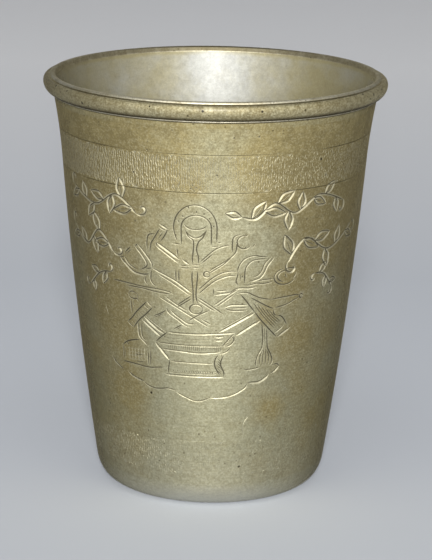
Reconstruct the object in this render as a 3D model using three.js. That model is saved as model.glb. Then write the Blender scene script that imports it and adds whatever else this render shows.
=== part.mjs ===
// A tapered pewter beaker: a cast and turned wall, a lip ring soldered round the mouth,
// and a base disc let into the foot and soldered from inside.
// Millimetres, +Z up, origin on the axis at the table.
import * as THREE from 'three';

// Driving dimensions
const CUP_HEIGHT = 120; // table to the top edge of the wall
const FOOT_RADIUS = 32.7; // outside of the taper, carried down to the table
const MOUTH_RADIUS = 45.5; // outside of the taper at the mouth, before the flare
const WALL_BOW = 1.4; // how far the side swells from a straight taper at half height
const LIP_FLARE = 2; // how far the side turns out at the mouth
const FLARE_HEIGHT = 24; // height of the side that turns out
const WALL_THICKNESS = 1.6; // measured level, from the outside to the inside
const RIM_ROUND = 0.6; // rounding of both corners of the wall's top edge

const FOOT_ROUND_HEIGHT = 7.5; // rounded corner between the side and the foot
const FOOT_ROUND_WIDTH = 5.6;
const FOOT_RING_WIDTH = 2.4; // flat ring that the cup stands on

const LIP_RING_HEIGHT = 4.3; // half-round ring outside the mouth
const LIP_RING_WIDTH = 2; // how far the ring stands out from its own bore at half height
const LIP_RING_EDGE = 0.5; // flat left at the ring's top and underside
const LIP_RING_DROP = 0.8; // the ring's top lies this far under the wall's top edge
const LIP_SOLDER_HEIGHT = 0.6; // fillet of solder under the lip ring
const LIP_SOLDER_WIDTH = 0.5;

const BASE_THICKNESS = 2.2; // disc that closes the foot
const BASE_RECESS = 1.2; // the disc's underside lies this far above the table
const BASE_DISH = 0.6; // hollow in the middle of the disc's underside
const BASE_RIM_WIDTH = 4; // flat margin round that hollow
const BASE_CHAMFER = 0.4; // broken lower edge of the disc
const LEDGE_WIDTH = 2; // shoulder inside the foot that the disc seats under
const LEDGE_THICKNESS = 1.2;
const COVE_HEIGHT = 5; // hollow curve between the shoulder and the inside of the wall
const COVE_WIDTH = 4.5;
const BASE_SOLDER_LEG = 1; // fillet of solder inside, round the disc

const FIT_GAP = 0.3; // clearance that the solder fills between two turned faces

// Facets
const ROUND_SEGMENTS = 72;
const WALL_STEPS = 12;
const CORNER_STEPS = 6;
const EDGE_STEPS = 3;
const RING_STEPS = 12;
const BORE_STEPS = 2;
const FILLET_STEPS = 3;

const QUARTER_TURN = Math.PI / 2;

// Outside radius of the side at a height: a taper, swollen a little, that flares at the mouth
function wallRadius(height) {
  const rise = height / CUP_HEIGHT;
  const taper = FOOT_RADIUS + (MOUTH_RADIUS - FOOT_RADIUS) * rise;
  const bow = WALL_BOW * 4 * rise * (1 - rise);
  const flareShare = Math.max(0, (height - CUP_HEIGHT + FLARE_HEIGHT) / FLARE_HEIGHT);
  return taper + bow + LIP_FLARE * flareShare ** 2;
}

function innerRadius(height) {
  return wallRadius(height) - WALL_THICKNESS;
}

function boreRadius(height) {
  return wallRadius(height) + FIT_GAP;
}

// Places that follow from the driving dimensions
const contactRadius = wallRadius(FOOT_ROUND_HEIGHT) - FOOT_ROUND_WIDTH;
const seatRadius = contactRadius - FOOT_RING_WIDTH;
const discRadius = seatRadius - FIT_GAP;
const discTop = BASE_RECESS + BASE_THICKNESS;
const ledgeRadius = seatRadius - LEDGE_WIDTH;
const ledgeTop = discTop + LEDGE_THICKNESS;
const coveTop = ledgeTop + COVE_HEIGHT;
const rimStart = CUP_HEIGHT - RIM_ROUND;
const ringTop = CUP_HEIGHT - LIP_RING_DROP;
const ringBottom = ringTop - LIP_RING_HEIGHT;

function point(radius, height) {
  return new THREE.Vector2(radius, height);
}

// Points along part of an ellipse about (radius, height), angles from the outward direction
function arc(radius, height, width, rise, from, to, steps) {
  const points = [];
  for (let step = 0; step <= steps; step += 1) {
    const angle = from + ((to - from) * step) / steps;
    points.push(point(radius + width * Math.cos(angle), height + rise * Math.sin(angle)));
  }
  return points;
}

// Points up or down a turned face whose radius is a function of the height
function face(radiusAt, from, to, steps) {
  const points = [];
  for (let step = 0; step <= steps; step += 1) {
    const height = from + ((to - from) * step) / steps;
    points.push(point(radiusAt(height), height));
  }
  return points;
}

// A body turned from a profile that closes on itself or runs from axis to axis
function turned(name, profile, material) {
  const geometry = new THREE.LatheGeometry(profile, ROUND_SEGMENTS);
  geometry.rotateX(QUARTER_TURN);
  const mesh = new THREE.Mesh(geometry, material);
  mesh.name = name;
  return mesh;
}

function closed(profile) {
  return [...profile, profile[0].clone()];
}

function pewter(color, roughness) {
  return new THREE.MeshStandardMaterial({ color, roughness, metalness: 1 });
}

// Two rounded corners, outside then inside, on the wall's top edge
function rimEdge() {
  const outside = wallRadius(rimStart) - RIM_ROUND;
  const inside = innerRadius(rimStart) + RIM_ROUND;
  return [
    ...arc(outside, rimStart, RIM_ROUND, RIM_ROUND, 0, QUARTER_TURN, EDGE_STEPS),
    ...arc(inside, rimStart, RIM_ROUND, RIM_ROUND, QUARTER_TURN, Math.PI, EDGE_STEPS),
  ];
}

function footCorner() {
  const width = FOOT_ROUND_WIDTH;
  const rise = FOOT_ROUND_HEIGHT;
  return arc(contactRadius, rise, width, rise, -QUARTER_TURN, 0, CORNER_STEPS);
}

function insideCove() {
  const centre = innerRadius(coveTop) - COVE_WIDTH;
  return arc(centre, coveTop, COVE_WIDTH, COVE_HEIGHT, 0, -QUARTER_TURN, CORNER_STEPS);
}

function cupWall() {
  const profile = [
    point(seatRadius, 0),
    ...footCorner(),
    ...face(wallRadius, FOOT_ROUND_HEIGHT, rimStart, WALL_STEPS).slice(1, -1),
    ...rimEdge(),
    ...face(innerRadius, rimStart, coveTop, WALL_STEPS).slice(1, -1),
    ...insideCove(),
    point(ledgeRadius, ledgeTop),
    point(ledgeRadius, discTop),
    point(seatRadius, discTop),
  ];
  return turned('cup_wall', closed(profile), pewter(0xa79f84, 0.45));
}

// The ring slides up from the foot and stops on the flare, so its bore follows the side
function lipRing() {
  const middle = (ringTop + ringBottom) / 2;
  const halfHeight = LIP_RING_HEIGHT / 2;
  const outside = [];
  for (let step = 0; step <= RING_STEPS; step += 1) {
    const angle = -QUARTER_TURN + (Math.PI * step) / RING_STEPS;
    const height = middle + halfHeight * Math.sin(angle);
    const stand = LIP_RING_EDGE + (LIP_RING_WIDTH - LIP_RING_EDGE) * Math.cos(angle);
    outside.push(point(boreRadius(height) + stand, height));
  }
  const profile = [...outside, ...face(boreRadius, ringTop, ringBottom, BORE_STEPS)];
  return turned('lip_ring', closed(profile), pewter(0xb3ac95, 0.4));
}

// A hollow fillet in the corner between the ring's underside and the wall
function lipSolder() {
  const bottom = ringBottom - LIP_SOLDER_HEIGHT;
  const corner = boreRadius(ringBottom) + LIP_SOLDER_WIDTH;
  const profile = [
    ...arc(corner, bottom, LIP_SOLDER_WIDTH, LIP_SOLDER_HEIGHT, Math.PI, QUARTER_TURN, FILLET_STEPS),
    ...face(boreRadius, ringBottom, bottom, BORE_STEPS),
  ];
  return turned('lip_solder', closed(profile), pewter(0x8f8975, 0.5));
}

function baseDisc() {
  const dishRadius = discRadius - BASE_RIM_WIDTH;
  const profile = [
    ...arc(0, BASE_RECESS, dishRadius, BASE_DISH, QUARTER_TURN, 0, CORNER_STEPS),
    point(discRadius - BASE_CHAMFER, BASE_RECESS),
    point(discRadius, BASE_RECESS + BASE_CHAMFER),
    point(discRadius, discTop),
    point(0, discTop),
  ];
  return turned('base_disc', profile, pewter(0x9a937c, 0.5));
}

// A hollow fillet in the corner between the disc and the shoulder above it
function baseSolder() {
  const outside = ledgeRadius - FIT_GAP;
  const inside = outside - BASE_SOLDER_LEG;
  const top = discTop + BASE_SOLDER_LEG;
  const profile = [
    point(outside, discTop),
    point(outside, top),
    ...arc(inside, top, BASE_SOLDER_LEG, BASE_SOLDER_LEG, 0, -QUARTER_TURN, FILLET_STEPS).slice(1),
  ];
  return turned('base_solder', closed(profile), pewter(0x8f8975, 0.5));
}

const cup = new THREE.Group();
cup.add(cupWall(), lipRing(), lipSolder(), baseDisc(), baseSolder());

export default cup;
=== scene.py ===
"""Looks of an engraved pewter beaker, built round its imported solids.

The solids are replaced by finer turned pieces of the same profile. The wall carries its engraving as real cuts.
Sizes here are in millimetres, and become metres when a mesh is made. The engraving is laid out on a flat sheet:
u runs to the right along the wall, measured at SHEET_RADIUS, with 0 at the front, and v is the height.
"""

import math
from collections import namedtuple
from functools import partial
from itertools import product

import bpy
from mathutils import Matrix, Vector, noise
from mathutils.geometry import delaunay_2d_cdt


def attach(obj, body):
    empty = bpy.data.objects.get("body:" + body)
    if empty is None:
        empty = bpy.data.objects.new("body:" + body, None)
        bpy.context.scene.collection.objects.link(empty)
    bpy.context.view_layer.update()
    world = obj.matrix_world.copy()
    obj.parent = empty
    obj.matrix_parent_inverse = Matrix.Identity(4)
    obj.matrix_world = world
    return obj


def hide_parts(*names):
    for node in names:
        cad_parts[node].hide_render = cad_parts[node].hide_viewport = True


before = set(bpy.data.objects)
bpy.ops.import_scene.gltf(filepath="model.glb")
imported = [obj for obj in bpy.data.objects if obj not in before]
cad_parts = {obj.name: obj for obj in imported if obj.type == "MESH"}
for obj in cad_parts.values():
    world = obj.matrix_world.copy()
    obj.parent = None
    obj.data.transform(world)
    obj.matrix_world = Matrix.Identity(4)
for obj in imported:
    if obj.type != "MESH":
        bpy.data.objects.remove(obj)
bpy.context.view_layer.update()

MM = 0.001

# Profile of the cup, as in its solids
CUP_HEIGHT = 120
FOOT_RADIUS = 32.7
MOUTH_RADIUS = 45.5
WALL_BOW = 1.4
LIP_FLARE = 2
FLARE_HEIGHT = 24
WALL_THICKNESS = 1.6
RIM_ROUND = 0.6
FOOT_ROUND_HEIGHT = 7.5
FOOT_ROUND_WIDTH = 5.6
FOOT_RING_WIDTH = 2.4
LIP_RING_HEIGHT = 4.3
LIP_RING_WIDTH = 2
LIP_RING_EDGE = 0.5
LIP_RING_DROP = 0.8
LIP_SOLDER_HEIGHT = 0.6
LIP_SOLDER_WIDTH = 0.5
BASE_THICKNESS = 2.2
BASE_RECESS = 1.2
BASE_DISH = 0.6
BASE_RIM_WIDTH = 4
BASE_CHAMFER = 0.4
LEDGE_WIDTH = 2
LEDGE_THICKNESS = 1.2
COVE_HEIGHT = 5
COVE_WIDTH = 4.5
BASE_SOLDER_LEG = 1
FIT_GAP = 0.3

# Sheet that the engraving is laid out on, with its grid and the cells that cuts are looked up by
SHEET_RADIUS = 40
SHEET_LOW = FOOT_ROUND_HEIGHT
SHEET_HIGH = 112.4
SHEET_HALF = math.pi * SHEET_RADIUS
SHEET_ROW = 2.5
CLEAR_OF_CUTS = 0.3
CELL = 1.5

# Widths of cuts
LINE_WIDTH = 0.52
BOLD_WIDTH = 0.62
SPRAY_WIDTH = 0.88
HATCH_WIDTH = 0.3
BRISTLE_WIDTH = 0.4
FAINT_WIDTH = 0.2

# Slopes of their flanks, which get steeper to the sides, and how far the deepest line leans to one edge
CUT_SLOPE = 0.32
SPRAY_SLOPE = 0.44
PUNCH_SLOPE = 0.3
SIDE_SLOPE = 0.35
CUT_LEAN = 0.4
LEAN_SIDE = 24

# Dirt that they hold, and how far it reaches from the deepest line
LINE_DIRT = 1.4
BOLD_DIRT = 1.05
SPRAY_DIRT = 0.85
PUNCH_DIRT = 2.5
HATCH_DIRT = 2
FAINT_DIRT = 0.7
ANVIL_DIRT = 3
DIRT_REACH = 0.3

# Steps along cuts, their pointed ends, and the least that counts as deeper
CUT_STEP = 0.6
LOOP_STEPS = 6
CUT_TAPER = 1.1
POINT_SHARE = 0.25
END_ROOM = 0.25
FULL_HALF = 0.15
SAME_DEPTH = 1e-6
EDGE_ROOM = 1e-3

# Punched dots, nicks and specks, and the folds of the bellows
PUNCH_SIZE = 0.5
PUNCH_LENGTH = 0.6
NICK_SIZE = 0.55
SPECK_SIZE = 0.36
FOLDS = 6
FOLD_BEND = 0.4
UPPER_FOLDS = ((10, 63.4), (17, 59.8))
LOWER_FOLDS = ((17.6, 54), (20.6, 56.6))

# Turned lines: the height and depth of each, their width, the depth that is fully dark, and their wear
TURNED_LINES = {105.07: 0.05, 94.33: 0.05, 20.9: 0.012, 9.9: 0.003}
TURNED_WIDTH = 0.42
DARK_DEPTH = 0.055
WORN_PLACE = 6
WORN_SPREAD = 15
WORN_SCALE = 2.6
WORN_LEFT = 0.9
WORN_PATCHES = 1.1
WORN_FRONT = 0.5

# Strokes of the rocked bands, and where the bands are rubbed
ROCKED_WIDTH = 0.38
ROCKED_DEPTH = 0.085
ROCKED_STEP = 0.36
ROCKED_SWAY = 0.3
SEAM_MARGIN = 1
ROCKED_RUB = 0.32
RUB_PLACE = 24
RUB_SPREAD = 15
ROCKED_SIDE_RUB = 0.32

# Heights of the worn band inside the rim and of the finer steps there
RIM_BAND = 0.9
UPPER_INSIDE = 3

# Patina of the wall: its strength, the angle from the front where it starts, and the angle in which it comes up
PATINA_STRENGTH = 0.4
PATINA_START = 0.74
PATINA_RISE = 0.45

# Dirt along the rim and inside it, less at the front; painted shade at the back of the rim and at the inside's ends
FRONT_RUB = 1.6
RIM_DIRT = 0.65
RIM_BACK_SHADE = 0.3
INSIDE_DIRT = 0.3
INSIDE_BACK_SHADE = 0.7
INSIDE_LEFT_SHADE = 0.6
INSIDE_RIGHT_SHADE = 0.2
INSIDE_FADE = 0.3

# Dark line over the lip ring, dirt and painted shade under it, their reach, and how the upper line fades at the
# sides
OVER_RING_DARK = 2
OVER_RING_REACH = 0.3
UNDER_RING_DIRT_AND_SHADE = 1.6
UNDER_RING_REACH = 0.35
UNDER_RING_DROP = 0.05
JOINT_FADE = 0.65
JOINT_FADE_START = 0.8
JOINT_FADE_RISE = 0.15

# Dirt and painted shade on the lip ring: its sides, more shade at the left, its underside; and its dark joint line
RING_SIDE_DIRT_AND_SHADE = 0.5
RING_LEFT_SHADE = 0.16
RING_FRONT_RUB = 1.4
RING_UNDER_DIRT_AND_SHADE = 1.3
RING_UNDER_REACH = 1.5
RING_FRONT_REACH = 0.7
RING_JOINT_SHARE = 0.7

# Brown staining inside, under the rim, and a painted highlight that keeps the back of the inside paler
INSIDE_STAIN_DEPTH = 2.2
INSIDE_STAIN_FADE = 1.6
INSIDE_HIGHLIGHT = 0.9
INSIDE_HIGHLIGHT_SPREAD = 0.42

# Brown stains on the outside: at the sides, lowered on the front as a painted highlight, and in spots by u, v and
# spread
SIDE_STAIN = 0.8
FRONT_SHEEN = 0.25
FRONT_SHEEN_SPREAD = 22
STAINS = (
    (-24, 106, 6), (-14, 99, 7), (26, 100, 8), (38, 92, 9), (30, 76, 7), (24, 66, 6), (-38, 84, 9), (-34, 68, 8),
    (-30, 52, 8), (26, 50, 6), (-5, 95, 2.2), (-26, 34, 6), (18, 30, 5), (80, 70, 14), (-90, 85, 16), (120, 40, 18),
    (16, 58.5, 3.4), (15, 59, 2.6), (16, 97, 8),
)

# Facets
TURN_SEGMENTS = 180
FOOT_STEPS = 14
COVE_STEPS = 12
INSIDE_STEPS = 42
UPPER_STEPS = 10
RIM_STEPS = 6
JOINT_STEPS = 3
FLARE_STEPS = 20
RING_STEPS = 28
BORE_STEPS = 4
ROLL_STEPS = 12
FILLET_STEPS = 8
DISH_STEPS = 60
DISC_STEPS = 20

# Angles, and small lengths that meshes are compared by
QUARTER_TURN = math.pi / 2
SHARP_ANGLE = math.radians(35)
SLOPE_STEP = 0.01
MERGED = 1e-4
LEDGE_MARGIN = 0.1
SAME_DIGITS = 3
CUT_NORMALS = 0.004

# Curve of the foot's corner, and how far the wall goes on behind the lip ring
FOOT_CURVE = 3
BEHIND_RING = 0.2

# Dents and lathe grooves
DENT_SCALE = 0.35
FINE_DENT_SCALE = 0.9
FINE_DENT = 0.5
RING_ROUGH = 0.03
SOLDER_ROUGH = 0.02
GROOVE_DEPTH = 0.05
GROOVE_EVERY = 6

# Camera, fitted to the photograph's outline
IMAGE_HEIGHT = 560
FOCAL_PIXELS = 2222.9
SENSOR = 36
CAMERA_PLACE = (0, -0.6287, 0.2287)
CAMERA_PITCH = 0.2645
CAMERA_ROLL = 0.0161
CAMERA_YAW = -0.0016

Cut = namedtuple("Cut", "path width slope dirt")
Stretch = namedtuple("Stretch", "start end half_start half_end slope lean dirt")
Band = namedtuple("Band", "low high count share strength dirt side_dirt")

BANDS = (
    Band(low=95.2, high=104.2, count=390, share=0.62, strength=0.88, dirt=0.5, side_dirt=0.4),
    Band(low=10.8, high=20.2, count=330, share=0.25, strength=0.6, dirt=0.35, side_dirt=0),
)
COLUMNS = [-SHEET_HALF + 2 * SHEET_HALF * index / TURN_SEGMENTS for index in range(TURN_SEGMENTS + 1)]


# Profile

def wall_radius(height):
    """Outside of the side at a height: a taper, swollen a little, that flares at the mouth."""
    rise = height / CUP_HEIGHT
    taper = FOOT_RADIUS + (MOUTH_RADIUS - FOOT_RADIUS) * rise
    bow = WALL_BOW * 4 * rise * (1 - rise)
    flare = max(0, (height - CUP_HEIGHT + FLARE_HEIGHT) / FLARE_HEIGHT)
    return taper + bow + LIP_FLARE * flare ** 2


def inner_radius(height):
    return wall_radius(height) - WALL_THICKNESS


def bore_radius(height):
    return wall_radius(height) + FIT_GAP


CONTACT_RADIUS = wall_radius(FOOT_ROUND_HEIGHT) - FOOT_ROUND_WIDTH
SEAT_RADIUS = CONTACT_RADIUS - FOOT_RING_WIDTH
DISC_RADIUS = SEAT_RADIUS - FIT_GAP
DISC_TOP = BASE_RECESS + BASE_THICKNESS
LEDGE_RADIUS = SEAT_RADIUS - LEDGE_WIDTH
LEDGE_TOP = DISC_TOP + LEDGE_THICKNESS
COVE_TOP = LEDGE_TOP + COVE_HEIGHT
RIM_START = CUP_HEIGHT - RIM_ROUND
RING_TOP = CUP_HEIGHT - LIP_RING_DROP
RING_BOTTOM = RING_TOP - LIP_RING_HEIGHT


def held_in(value, low=0, high=1):
    return min(high, max(low, value))


def arc(centre_u, centre_v, width, rise, start, end, steps):
    """Points along part of an ellipse, angles from the +u direction."""
    points = []
    for step in range(steps + 1):
        angle = start + (end - start) * step / steps
        points.append((centre_u + width * math.cos(angle), centre_v + rise * math.sin(angle)))
    return points


def face(radius_at, start, end, steps):
    """Points up or down a turned face whose radius is a function of the height."""
    heights = [start + (end - start) * step / steps for step in range(steps + 1)]
    return [(radius_at(height), height) for height in heights]


# Lines of the engraving

def moved(point, direction, distance):
    return (point[0] + direction[0] * distance, point[1] + direction[1] * distance)


def part_way(start, end, share):
    """The point at a share of the way between two others."""
    return (start[0] + (end[0] - start[0]) * share, start[1] + (end[1] - start[1]) * share)


def smooth(points, step=CUT_STEP):
    """A curve through the points, sampled about every step."""
    ends = [points[0]] + list(points) + [points[-1]]
    path = [points[0]]
    for index in range(1, len(ends) - 2):
        before, start, end, after = ends[index - 1:index + 3]
        count = max(1, math.ceil(math.dist(start, end) / step))
        for part in range(1, count + 1):
            share = part / count
            path.append(tuple(spline(*values, share) for values in zip(before, start, end, after)))
    return path


def spline(before, start, end, after, share):
    """Catmull-Rom value between start and end."""
    slope = end - before
    bend = 2 * before - 5 * start + 4 * end - after
    twist = 3 * start - before - 3 * end + after
    return start + (slope * share + bend * share ** 2 + twist * share ** 3) / 2


def curve(*points, width=LINE_WIDTH, slope=CUT_SLOPE, dirt=LINE_DIRT):
    """A cut through the points."""
    return Cut(smooth(points), width, slope, dirt)


# Cuts of other weights, from a scratch that is kept clean to the wide strokes of the sprays
scratch = partial(curve, width=HATCH_WIDTH, dirt=0)
fine = partial(curve, width=HATCH_WIDTH)
bristle = partial(curve, width=BRISTLE_WIDTH)
bold = partial(curve, width=BOLD_WIDTH, dirt=BOLD_DIRT)
broad = partial(curve, width=SPRAY_WIDTH, dirt=BOLD_DIRT)
spray_curve = partial(curve, width=SPRAY_WIDTH, slope=SPRAY_SLOPE, dirt=SPRAY_DIRT)


def loop(centre_u, centre_v, width, rise, start=0, end=2 * math.pi):
    """A cut round all or part of an ellipse."""
    steps = max(LOOP_STEPS, math.ceil(abs(end - start) * max(width, rise) / CUT_STEP))
    return Cut(arc(centre_u, centre_v, width, rise, start, end, steps), LINE_WIDTH, CUT_SLOPE, LINE_DIRT)


def dot(centre_u, centre_v, size=PUNCH_SIZE):
    """A small steep punch mark, as a cut too short to look like a line."""
    half = size * PUNCH_LENGTH / 2
    path = [(centre_u, centre_v - half), (centre_u, centre_v), (centre_u, centre_v + half)]
    return Cut(path, size, PUNCH_SLOPE, PUNCH_DIRT)


def dots(*places, size=PUNCH_SIZE):
    return [dot(*place, size) for place in places]


def hatch(start, end, lean, count, width=HATCH_WIDTH, dirt=HATCH_DIRT):
    """Short parallel cuts that start evenly between two points, each going by lean."""
    cuts = []
    for index in range(count):
        base = part_way(start, end, (index + 0.5) / count)
        cuts.append(curve(base, moved(base, lean, 1), width=width, dirt=dirt))
    return cuts


# Tools of the trophy

def bellows_folds():
    """Bent strokes along the leather of the bellows."""
    cuts = []
    for index in range(1, FOLDS):
        start = part_way(*UPPER_FOLDS, index / FOLDS)
        end = part_way(*LOWER_FOLDS, index / FOLDS)
        middle = part_way(start, end, 0.5)
        cuts.append(fine(start, (middle[0] - FOLD_BEND, middle[1]), end))
    return cuts


# The shoe at the top, with its nail holes
HORSESHOE = [
    curve((-9.4, 80.5), (-9.9, 82), *arc(-4.68, 84, 5.63, 6.9, math.pi, 0, 20), (0.9, 80.5)),
    curve((-8.25, 79.6), (-8.3, 82), *arc(-4.4, 84.4, 3.9, 3.6, math.pi, 0, 16), (-0.45, 82), (-0.5, 79.6)),
    curve((-10.75, 79.7), (-8.1, 79.5)),
    curve((-0.6, 79.2), (1.5, 79.3)),
    curve((1, 80.5), (2.1, 80.25)),
    fine((-6, 88.7), (-4.2, 88.5)),
]
HORSESHOE += dots((-8.9, 86.1), (-7.8, 87.7), (-6.4, 90.2), (-4.3, 89), (-2.4, 88.5), (-1, 87.2), (0.1, 85))

# The upright ladle, from its bowl inside the shoe to the ring at its lower end
LADLE = [
    curve((-7.6, 85.6), (-6.6, 84.4), (-4.6, 83.9), (-2.7, 84.3), (-1.6, 85.2)),
    curve((-6.9, 83.3), (-6.1, 82.2), (-4.6, 81.5), (-3.1, 82.1), (-1.9, 83.6)),
    curve((-7.2, 83.8), (-6.5, 82), (-5.2, 80.8), (-5.1, 78.5), (-5.4, 75.5), (-5.3, 74)),
    curve((-1.7, 84), (-2.7, 81.6), (-3.8, 80.3), (-4.3, 78.2), (-3.8, 76), (-3.8, 74.2)),
    curve((-5.6, 73.9), (-3.3, 73.9)),
    curve((-5.5, 73), (-3.4, 73)),
    curve((-5.4, 72), (-5.5, 69.7), (-5.2, 65.6), (-5.2, 62.3)),
    curve((-4.1, 72), (-4, 70.4), (-4.4, 66), (-4.3, 63.7), (-3.8, 62.4)),
    loop(-4.4, 60.85, 1.8, 1.4),
]

# A hammer and a swab behind the ladle's left side
UPPER_LEFT_TOOLS = [
    broad((-14.9, 79.5), (-10.2, 76.2), (-9, 75.2)),
    bold((-15.2, 78.6), (-10, 74.8), (-9.2, 74.1)),
    curve((-14.9, 79.5), (-15.2, 78.6)),
    broad((-8.1, 75.3), (-6.3, 73.9)),
    curve((-8.8, 73.4), (-6.4, 73.4)),
    curve((-8.7, 72.7), (-5.7, 72.75)),
    curve((-9.45, 78.5), (-9.2, 75.9)),
    curve((-9.9, 72), (-9.85, 68.7)),
    curve((-9.05, 72), (-9.05, 68.4)),
    broad((-13.9, 84.8), (-11.7, 83.6)),
    bold((-14.1, 83.9), (-12.3, 83.1)),
    curve((-11.8, 83.6), (-12.8, 81.5), (-13.9, 79.9)),
    curve((-14, 83.5), (-14.9, 82), (-15.7, 80.6), (-16.6, 79), (-17.1, 76.4)),
    curve((-15.2, 81.9), (-17.2, 81.4), (-17.8, 79.2), (-17.7, 77)),
]
UPPER_LEFT_TOOLS += hatch((-13.6, 82.9), (-12.6, 82.5), (-1.4, -2.2), 1)

# Open pincers at the left, whose arms cross behind the ladle
LEFT_PINCERS = [
    bold((-20.5, 78.3), (-18.5, 76), (-17, 74), (-16.5, 73), (-16.6, 71.9)),
    bold((-21.4, 77.6), (-19.75, 75.75), (-18.5, 74), (-18, 72.75), (-18.6, 71.7), (-20.2, 70.9)),
    bold((-20.5, 78.3), (-21.4, 77.6)),
    curve((-22.8, 77.2), (-24.8, 75.2)),
    fine((-22.3, 76.8), (-24.3, 74.8)),
    bold((-25, 74), (-23.5, 72), (-21, 70.8)),
    broad((-26.4, 73.6), (-24.5, 71.8), (-22.7, 70.3), (-21.3, 69.75), (-19, 69.6), (-17.5, 70.1)),
    bold((-26.4, 73.6), (-25, 74)),
    curve((-18.3, 71.4), (-16.6, 71.9)),
    bold((-16.5, 71.9), (-15, 71.25), (-10, 68.8), (-5.6, 65.6)),
    curve((-14.8, 70.4), (-11.5, 68.6), (-9, 67), (-6, 64.9)),
    curve((-4, 64.4), (0, 61.75), (2.9, 59.6)),
    curve((-4.1, 63.6), (0, 60.9), (0.8, 60.4)),
    curve((-16.75, 71.5), (-17, 68.6), (-16.3, 67.2), (-15.4, 66.6)),
    curve((-18.5, 69.3), (-18.7, 68), (-18, 66.7)),
    curve((-14.8, 63.8), (-10, 61.2), (-5.4, 58.5), (-0.9, 55.75)),
    curve((-12.8, 63.9), (-9.7, 61.9), (-6.9, 60.3)),
    curve((-2.9, 58), (-0.2, 56.4)),
]

# The poker that lies across at the left, and a curved rod under the pincers
LEFT_RODS = [
    curve((-29.5, 66.5), (-24.5, 66.4), (-20, 66.1), (-15.2, 65.9), (-11.8, 65.4), (-10.9, 64.9)),
    curve((-24.3, 65.6), (-20, 65.6), (-17.7, 65.3), (-14, 64.9), (-11.4, 64.8)),
    curve((-12.5, 60.8), (-12.3, 59.6), (-11.1, 58.5), (-9.4, 57.4), (-8, 56.3), (-6.4, 55.5)),
    curve((-11.6, 60.3), (-10.2, 58.9), (-8.6, 57.8), (-7.4, 56.9), (-6, 56.4), (-4.3, 56.5)),
    bold((-16.7, 57.8), (-14.6, 58.7), (-12.9, 59.9)),
    fine((-16.6, 57.3), (-13.4, 58.9)),
]

# The hook at the upper right, and the straight rod behind its stem
HOOKED_TOOL = [
    curve((5.1, 77.6), (5, 79.5), (5.15, 81.5), (6, 82.4), (7.3, 82.6)),
    loop(8.1, 80.4, 1.9, 1.9, math.radians(75), math.radians(330)),
    curve((8.3, 82.1), (9, 82.5)),
    curve((11, 80), (10.3, 78.8)),
    dot(8.45, 78.9),
    curve((6.1, 80.3), (6.1, 78.3), (5.4, 76.8), (3.3, 75), (0, 72.8), (-0.9, 72)),
    curve((5, 76.3), (2.8, 74.1), (0, 72.1), (-0.8, 71.4)),
    loop(-1.55, 71.15, 0.85, 0.85),
    curve((-3.3, 74.7), (0, 77.9), (1.6, 78.9), (3.3, 79.5), (4.6, 79.6)),
    curve((-3, 74.2), (0.1, 77.2)),
]

# Bow-jawed tongs at the right, whose arms cross the pincers
RIGHT_TONGS = [
    curve((6.6, 71.8), (6.9, 73.5), (8, 75.2), (9.5, 76.1), (11.3, 76.4), (12.8, 76), (14.7, 75.9)),
    curve((8.6, 68.5), (8.6, 71.7), (8.9, 73.2), (10, 74.6), (11.4, 75.2), (14.4, 75.3)),
    bold((16.5, 75.6), (14.75, 73.3), (14, 71.5), (13, 70), (11.5, 69.3), (9.6, 68.9)),
    curve((15.7, 75.8), (14, 74), (13.3, 72.2), (12.4, 70.8), (10.6, 70)),
    curve((6.7, 71.8), (6.6, 70.4), (6.3, 68.9), (7, 68)),
    fine((7.4, 71.6), (7.5, 69.2)),
    dot(7.9, 70.5),
    curve((6.4, 71.9), (5, 72.1), (2.6, 71.6), (0, 70.1), (-3.8, 66.5)),
    curve((6.2, 70.7), (4.6, 70.8), (2.5, 70.2), (0, 68.8), (-3.7, 65.4)),
    curve((-5.7, 64.7), (-9.5, 61.8)),
    curve((-5.6, 63.9), (-9.6, 61.1)),
    curve((7, 66.9), (5, 65.6), (2.5, 63.7), (0.3, 62)),
    curve((5.9, 65.4), (3.2, 63.3), (1, 61.6)),
    curve((-0.4, 60.8), (-3, 59.5), (-4.5, 58.6), (-6.5, 57.3)),
    curve((-8.2, 56.1), (-10.8, 54.5)),
    fine((-8.4, 55.5), (-10.2, 54.3)),
]

# The rod with a square end and an eye, and the chisel below it
EYED_TOOL = [
    bold((0.5, 65.2), (3, 65.6), (4.8, 65.9), (6.5, 66.9), (7.8, 67.1), (10, 67), (11.8, 67.3)),
    curve((8.2, 68), (10, 67.9), (12, 68.3), (14, 68.1), (16.7, 68.5)),
    curve((11.8, 68.9), (14, 69.2), (16.8, 69.3)),
    curve((0.35, 67), (0.35, 65.4)),
    curve((0.8, 66.7), (1.9, 66.4), (4.2, 66.6)),
    loop(20.2, 69.6, 3.3, 2.35, math.radians(100), math.radians(345)),
    loop(20.4, 69.7, 2.5, 1.65, math.radians(85), math.radians(255)),
    curve((20, 71.8), (21.8, 71.9), (23.6, 71.5)),
    bold((23.7, 70.3), (22.8, 68.7)),
    curve((20, 70.6), (20.6, 69.2)),
    bold((3.5, 61.5), (5.2, 62.2), (9.7, 62.1)),
    curve((5, 61.3), (9.7, 61.3)),
    curve((3.5, 61.4), (5.2, 60.6), (9.4, 60.5)),
]

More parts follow.
